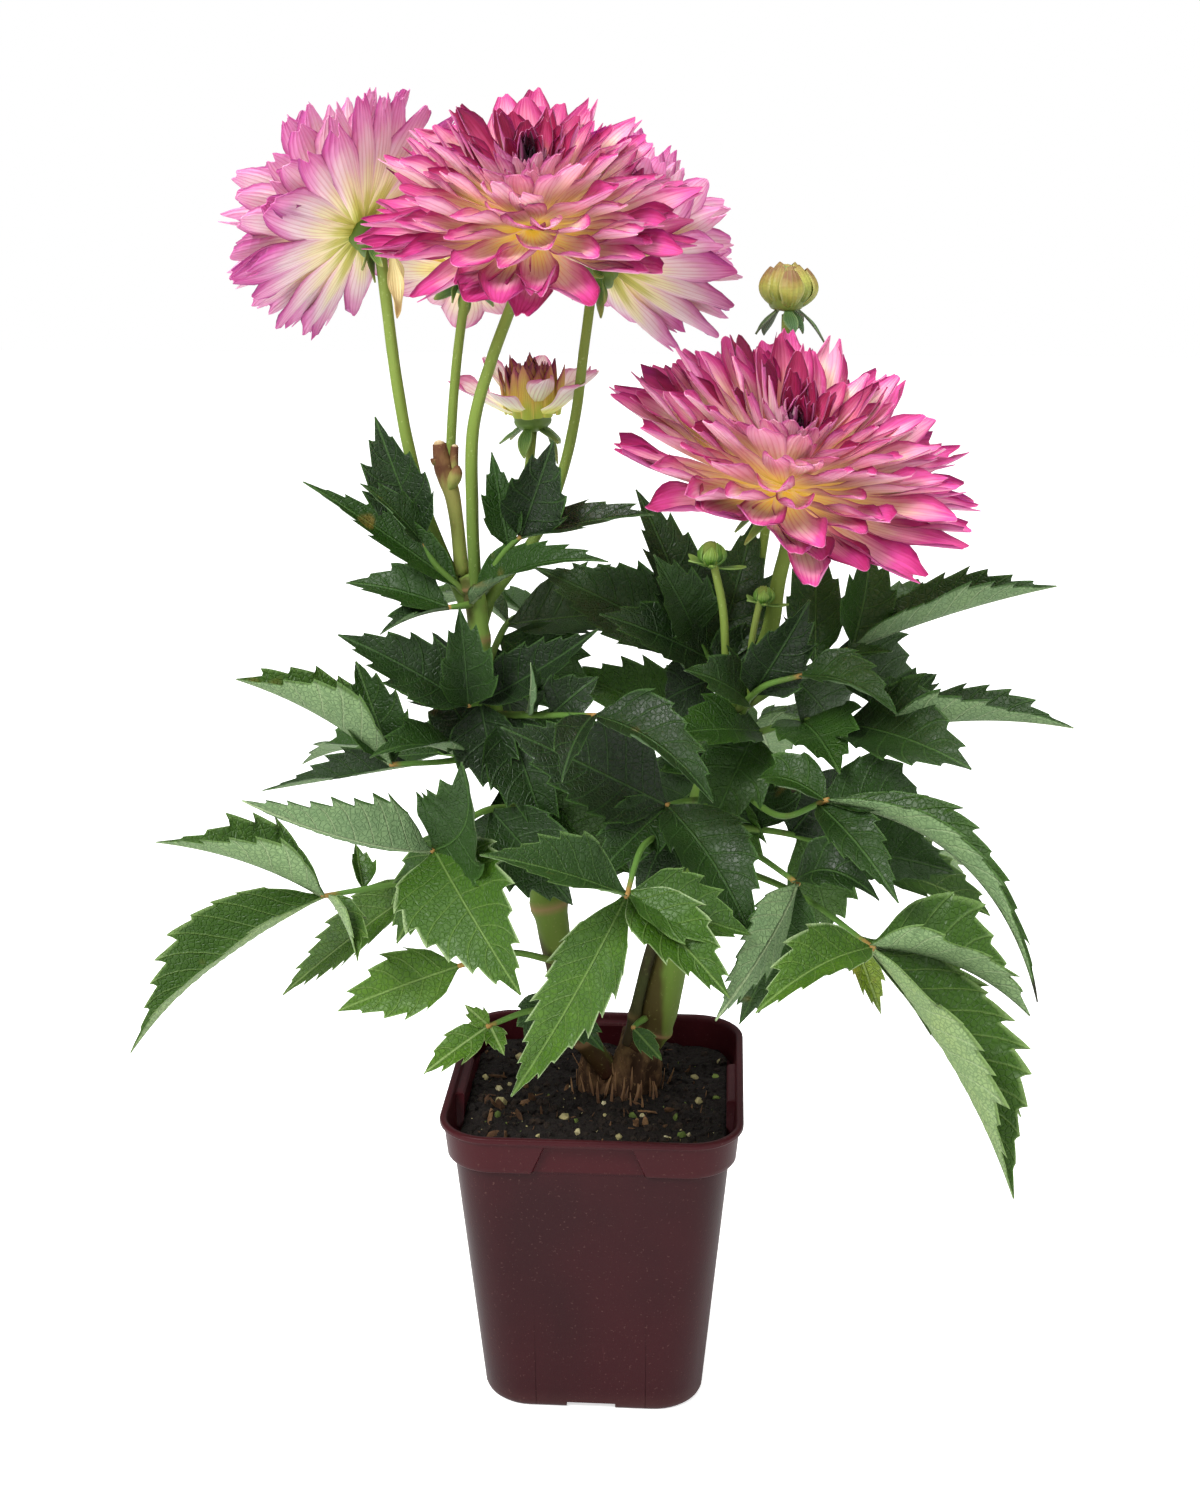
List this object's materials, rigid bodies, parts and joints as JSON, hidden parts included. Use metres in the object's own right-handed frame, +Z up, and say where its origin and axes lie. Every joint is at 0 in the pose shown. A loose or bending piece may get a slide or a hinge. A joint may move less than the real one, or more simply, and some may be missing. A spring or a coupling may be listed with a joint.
{
  "type": "potted dahlia",
  "caption": "Potted garden dahlia with double pink flower heads, a bud and toothed compound leaves in a square, tapered nursery pot with a skirted rim.",
  "frame": {"origin": "middle of the plane that the pot stands on, below the middle of the whole plant with its pot", "axes": "+Z up the plant, +X to the right as seen by someone facing the flowers, so the flowers face -Y"},
  "size_m": [0.3604, 0.2379, 0.5126],
  "materials": {
    "pot": "smooth maroon plastic with fine scuffs and dust",
    "soil": "dark, moist potting mix of bark, peat and perlite",
    "bark": "fibrous, dry brown root crown",
    "stem": "green stem with purple brown mottling and node rings",
    "stalk": "smooth light green flower stalk",
    "calyx": "yellow green to dark green bracts",
    "petal": "satin petals, cream at the base, pink to magenta at the tips",
    "inner_petal": "upright inner petals, crimson with dark edges",
    "bud": "ochre green overlapping bud scales",
    "leaf": "dark green above with sunken veins, pale grey green below"
  },
  "bodies": {
    "root": {"back_calyx": "calyx", "back_inner_petals": "inner_petal", "back_outer_petals": "petal", "back_stalk": "stalk", "bud": "bud", "bud_bracts": "calyx", "bud_stalk": "stalk", "cut_stem": "stem", "front_calyx": "calyx", "front_inner_petals": "inner_petal", "front_outer_petals": "petal", "front_stalk": "stalk", "half_open_calyx": "calyx", "half_open_inner_petals": "inner_petal", "half_open_outer_petals": "petal", "half_open_stalk": "stalk", "hidden_calyx": "calyx", "hidden_inner_petals": "inner_petal", "hidden_outer_petals": "petal", "hidden_stalk": "stalk", "leaf_back_high": "leaf", "leaf_back_right": "leaf", "leaf_center": "leaf", "leaf_center_top": "leaf", "leaf_cluster_left": "leaf", "leaf_cluster_low": "leaf", "leaf_cluster_right": "leaf", "leaf_front": "leaf", "leaf_front_inner": "leaf", "leaf_left_back": "leaf", "leaf_left_high": "leaf", "leaf_left_low": "leaf", "leaf_left_mid": "leaf", "leaf_right_high": "leaf", "leaf_right_inner": "leaf", "leaf_right_low": "leaf", "leaf_right_low_back": "leaf", "leaf_right_mid": "leaf", "leaf_right_top": "leaf", "leaf_right_upper": "leaf", "leaf_round_low": "leaf", "leaf_seedling": "leaf", "leaf_small_left": "leaf", "leaf_stem_base": "leaf", "leaf_upper_mid": "leaf", "left_calyx": "calyx", "left_inner_petals": "inner_petal", "left_outer_petals": "petal", "left_stalk": "stalk", "left_stem": "stem", "main_stem": "stem", "pot": "pot", "right_calyx": "calyx", "right_inner_petals": "inner_petal", "right_outer_petals": "petal", "right_stalk": "stalk", "root_crown": "bark", "small_bud_left": "calyx", "small_bud_right": "calyx", "soil": "soil"}
  },
  "joints": []
}
